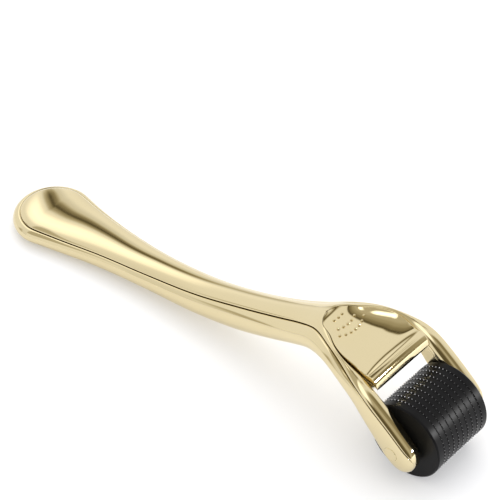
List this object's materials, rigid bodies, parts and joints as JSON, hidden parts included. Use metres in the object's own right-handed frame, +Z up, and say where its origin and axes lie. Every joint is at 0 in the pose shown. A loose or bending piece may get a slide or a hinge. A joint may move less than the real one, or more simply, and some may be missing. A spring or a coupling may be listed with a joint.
{
  "type": "derma roller",
  "caption": "Hand-held skin roller: a slender curved gold handle with a forked head, a dished thumb pad, and a black drum of fine needle discs that spins on a steel axle.",
  "frame": {"origin": "bottom centre of the bounding box, on the surface that the tool lies on", "axes": "+X from the tail along the handle towards the drum, +Y along the drum's axle to the left arm, +Z up"},
  "size_m": [0.1423, 0.0298, 0.0267],
  "materials": {
    "gold_plating": "mirror-bright pale gold electroplating on moulded ABS",
    "axle_steel": "ground steel pin",
    "black_plastic": "satin black moulded plastic",
    "needle_metal": "dark coated metal discs with barer needle tips"
  },
  "bodies": {
    "handle": {"lower_shell": "gold_plating", "upper_shell": "gold_plating", "thumb_pad": "gold_plating", "axle": "axle_steel", "axle_plug_left": "gold_plating", "axle_plug_right": "gold_plating"},
    "drum": {"drum_core": "black_plastic", "end_cap_left": "black_plastic", "end_cap_right": "black_plastic", "needle_disc_1": "needle_metal", "needle_disc_2": "needle_metal", "needle_disc_3": "needle_metal", "needle_disc_4": "needle_metal", "needle_disc_5": "needle_metal", "needle_disc_6": "needle_metal", "needle_disc_7": "needle_metal", "needle_disc_8": "needle_metal", "needle_disc_9": "needle_metal", "spacer_ring_1": "black_plastic", "spacer_ring_2": "black_plastic", "spacer_ring_3": "black_plastic", "spacer_ring_4": "black_plastic", "spacer_ring_5": "black_plastic", "spacer_ring_6": "black_plastic", "spacer_ring_7": "black_plastic", "spacer_ring_8": "black_plastic"}
  },
  "joints": [
    {"name": "drum_spin", "type": "hinge", "parent": "handle", "child": "drum", "pos_m": [0.06092, 0, 0.01025], "axis": [0, 1, 0], "continuous": true}
  ]
}
